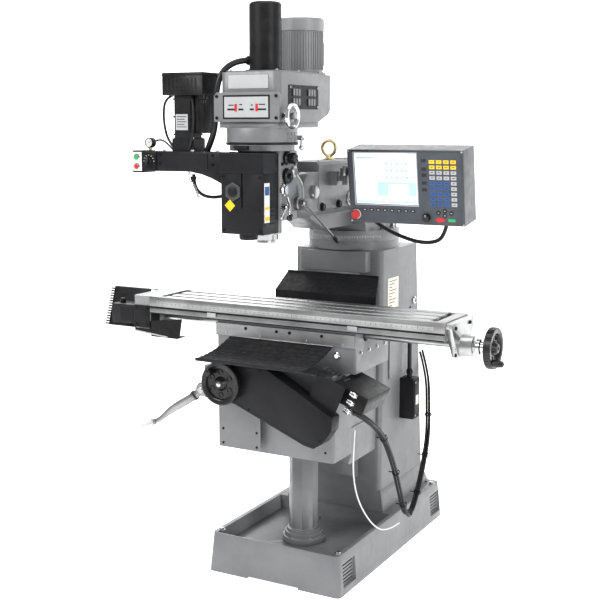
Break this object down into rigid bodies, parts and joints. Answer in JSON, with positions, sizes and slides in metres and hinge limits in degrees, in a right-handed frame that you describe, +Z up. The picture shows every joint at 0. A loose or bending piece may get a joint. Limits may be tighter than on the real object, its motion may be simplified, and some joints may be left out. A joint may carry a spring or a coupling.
{
  "type": "knee-type vertical milling machine",
  "caption": "Floor-standing knee mill with swivelling ram and head, handwheels, lead screws, belt-driven spindle, axis servo motors and a pendant control console.",
  "frame": {"origin": "centre of the base's footprint on the floor, at the middle of the anchor bolt pattern", "axes": "+Z up, the longest extent; +X to the operator's right along the table; +Y from the operator towards the column's rear"},
  "size_m": [1.775, 1.224, 2.149],
  "materials": {
    "grey_paint": "semi-gloss light grey machine enamel",
    "dark_paint": "satin dark grey and black enamel",
    "console_paint": "textured off-white enamel",
    "bare_steel": "ground and oiled steel",
    "bright_chrome": "polished chrome",
    "zinc_yellow": "yellow zinc plate",
    "black_rubber": "matt black rubber",
    "black_plastic": "moulded black plastic",
    "grip_plastic": "light plastic grip",
    "red_plastic": "red push button",
    "green_plastic": "green push button",
    "screen_glass": "dark display glass",
    "belt_rubber": "toothed drive belt"
  },
  "bodies": {
    "machine_frame": {"base_casting": "grey_paint", "base_grilles": "dark_paint", "column_casting": "grey_paint", "pedestal": "grey_paint", "electrical_cabinet": "grey_paint", "junction_box": "grey_paint", "rear_way_cover": "black_rubber", "knee_cables": "black_rubber"},
    "cabinet_door": {"cabinet_door": "grey_paint"},
    "turret": {"turret_casting": "grey_paint", "turret_bolts": "bare_steel"},
    "ram": {"ram_casting": "grey_paint", "lifting_eye": "zinc_yellow", "knuckle_pin": "bare_steel", "console_bracket": "grey_paint", "console_cable": "black_rubber"},
    "knuckle": {"knuckle_casting": "grey_paint"},
    "head": {"head_casting": "grey_paint", "gear_housing": "grey_paint", "belt_housing": "grey_paint", "spindle_motor": "grey_paint", "drive_belt": "belt_rubber", "drawbar_cover": "grey_paint", "quill_drive_cover": "grey_paint", "drive_arm": "grey_paint", "z_servo_motor": "dark_paint", "servo_housing": "dark_paint", "switch_box": "console_paint", "pressure_gauge": "bright_chrome"},
    "motor_pulley": {"motor_pulley": "bare_steel"},
    "spindle_pulley": {"spindle_pulley": "bare_steel"},
    "start_button": {"start_button": "green_plastic"},
    "stop_button": {"stop_button": "red_plastic"},
    "mode_switch": {"mode_switch": "black_plastic"},
    "speed_handwheel": {"speed_handwheel": "bright_chrome"},
    "range_lever": {"range_lever": "bright_chrome"},
    "feed_selector": {"feed_selector": "bright_chrome"},
    "quill_feed_handle": {"quill_feed_handle": "bright_chrome"},
    "quill": {"quill": "bare_steel"},
    "spindle": {"spindle": "bare_steel"},
    "knee": {"knee_casting": "grey_paint", "y_belt_cover": "dark_paint", "y_servo_motor": "dark_paint"},
    "elevating_screw": {"elevating_screw": "bare_steel"},
    "y_handwheel": {"y_handwheel": "dark_paint"},
    "knee_crank": {"knee_crank": "bare_steel"},
    "crank_grip": {"crank_grip": "grip_plastic"},
    "saddle": {"saddle_casting": "grey_paint", "front_apron": "black_rubber"},
    "table": {"table": "bare_steel", "x_bracket_right": "bare_steel", "x_bracket_left": "grey_paint", "x_servo_motor": "dark_paint", "x_guard": "grey_paint"},
    "x_handwheel": {"x_handwheel": "dark_paint"},
    "console_arm": {"console_arm": "grey_paint"},
    "console": {"console_housing": "console_paint", "console_screen": "screen_glass"},
    "console_stop_button": {"console_stop_button": "red_plastic"},
    "jog_knob": {"jog_knob": "black_plastic"}
  },
  "joints": [
    {"name": "turret_swivel", "type": "hinge", "parent": "machine_frame", "child": "turret", "pos_m": [0, 0.182, 1.304], "axis": [0, 0, 1], "range_deg": [-90, 90]},
    {"name": "ram_slide", "type": "slide", "parent": "turret", "child": "ram", "axis": [0, 1, 0], "range_m": [-0.12, 0.15]},
    {"name": "head_nod", "type": "hinge", "parent": "ram", "child": "knuckle", "pos_m": [0, -0.355, 1.48], "axis": [1, 0, 0], "range_deg": [-15, 45]},
    {"name": "head_tilt", "type": "hinge", "parent": "knuckle", "child": "head", "pos_m": [0, -0.455, 1.48], "axis": [0, 1, 0], "range_deg": [-15, 20]},
    {"name": "motor_pulley_spin", "type": "hinge", "parent": "head", "child": "motor_pulley", "pos_m": [0, -0.284, 1.837], "axis": [0, 0, 1], "continuous": true},
    {"name": "spindle_pulley_spin", "type": "hinge", "parent": "head", "child": "spindle_pulley", "pos_m": [0, -0.543, 1.837], "axis": [0, 0, 1], "continuous": true},
    {"name": "spindle_spin", "type": "hinge", "parent": "quill", "child": "spindle", "pos_m": [0, -0.543, 1.4], "axis": [0, 0, 1], "continuous": true},
    {"name": "quill_feed", "type": "slide", "parent": "head", "child": "quill", "axis": [0, 0, -1], "range_m": [0, 0.127]},
    {"name": "feed_handle_turn", "type": "hinge", "parent": "head", "child": "quill_feed_handle", "pos_m": [0.096, -0.49, 1.448], "axis": [1, 0, 0], "range_deg": [0, 286.5]},
    {"name": "speed_wheel_turn", "type": "hinge", "parent": "head", "child": "speed_handwheel", "pos_m": [0.118, -0.644, 1.755], "axis": [1, 0, 0], "range_deg": [-720, 720]},
    {"name": "range_lever_turn", "type": "hinge", "parent": "head", "child": "range_lever", "pos_m": [0.123, -0.528, 1.681], "axis": [1, 0, 0], "range_deg": [-30, 30]},
    {"name": "feed_selector_turn", "type": "hinge", "parent": "head", "child": "feed_selector", "pos_m": [0.089, -0.556, 1.61], "axis": [1, 0, 0], "range_deg": [-90, 90]},
    {"name": "start_button_press", "type": "slide", "parent": "head", "child": "start_button", "axis": [0, 1, 0], "range_m": [0, 0.003], "stiffness_N_per_m": 300},
    {"name": "stop_button_press", "type": "slide", "parent": "head", "child": "stop_button", "axis": [0, 1, 0], "range_m": [0, 0.003], "stiffness_N_per_m": 300},
    {"name": "mode_switch_turn", "type": "hinge", "parent": "head", "child": "mode_switch", "pos_m": [-0.4, -0.694, 1.596], "axis": [0, 1, 0], "range_deg": [-60, 60]},
    {"name": "console_swivel", "type": "hinge", "parent": "ram", "child": "console_arm", "pos_m": [0.152, -0.213, 1.53], "axis": [0, 0, 1], "range_deg": [-20, 45], "deforming": ["console_cable"]},
    {"name": "console_tilt", "type": "hinge", "parent": "console_arm", "child": "console", "pos_m": [0.17, -0.213, 1.552], "axis": [1, 0, 0], "range_deg": [-12, 15], "deforming": ["console_cable"]},
    {"name": "console_stop_press", "type": "slide", "parent": "console", "child": "console_stop_button", "axis": [0, 0.9877, 0.1564], "range_m": [0, 0.004], "stiffness_N_per_m": 400},
    {"name": "jog_knob_turn", "type": "hinge", "parent": "console", "child": "jog_knob", "pos_m": [0.5205, -0.30342, 1.4003], "axis": [0, 0.9877, 0.1564], "continuous": true},
    {"name": "knee_lift", "type": "slide", "parent": "machine_frame", "child": "knee", "axis": [0, 0, 1], "range_m": [-0.185, 0.215], "deforming": ["knee_cables", "rear_way_cover"]},
    {"name": "elevating_screw_turn", "type": "hinge", "parent": "knee", "child": "elevating_screw", "pos_m": [0, -0.26, 0.6], "axis": [0, 0, 1], "range_deg": [-13111.2, 15237.2]},
    {"name": "knee_crank_turn", "type": "hinge", "parent": "knee", "child": "knee_crank", "pos_m": [-0.287, -0.535, 0.731], "axis": [0, 1, 0], "range_deg": [-60, 45]},
    {"name": "crank_grip_spin", "type": "hinge", "parent": "knee_crank", "child": "crank_grip", "pos_m": [-0.524, -0.6, 0.571], "axis": [0, 1, 0], "continuous": true},
    {"name": "y_wheel_turn", "type": "hinge", "parent": "knee", "child": "y_handwheel", "pos_m": [-0.152, -0.59, 0.785], "axis": [0, 1, 0], "range_deg": [-7201, 6481]},
    {"name": "saddle_slide", "type": "slide", "parent": "knee", "child": "saddle", "axis": [0, 1, 0], "range_m": [-0.1, 0.09], "deforming": ["rear_way_cover"]},
    {"name": "table_slide", "type": "slide", "parent": "saddle", "child": "table", "axis": [1, 0, 0], "range_m": [-0.34, 0.165]},
    {"name": "x_wheel_turn", "type": "hinge", "parent": "table", "child": "x_handwheel", "pos_m": [0.782, -0.331, 0.958], "axis": [1, 0, 0], "range_deg": [-24481, 11881]},
    {"name": "cabinet_door_swing", "type": "hinge", "parent": "machine_frame", "child": "cabinet_door", "pos_m": [-0.355, 0.479, 0.785], "axis": [0, 0, 1], "range_deg": [-110, 0]}
  ],
  "couplings": [
    {"joint": "motor_pulley_spin", "follows": "spindle_pulley_spin", "ratio": 1},
    {"joint": "spindle_spin", "follows": "spindle_pulley_spin", "ratio": 1},
    {"joint": "quill_feed", "follows": "feed_handle_turn", "m_per_rad": 0.0254},
    {"joint": "elevating_screw_turn", "follows": "knee_lift", "rad_per_m": 1236.8},
    {"joint": "y_wheel_turn", "follows": "saddle_slide", "rad_per_m": 1256.6},
    {"joint": "x_wheel_turn", "follows": "table_slide", "rad_per_m": 1256.6}
  ]
}
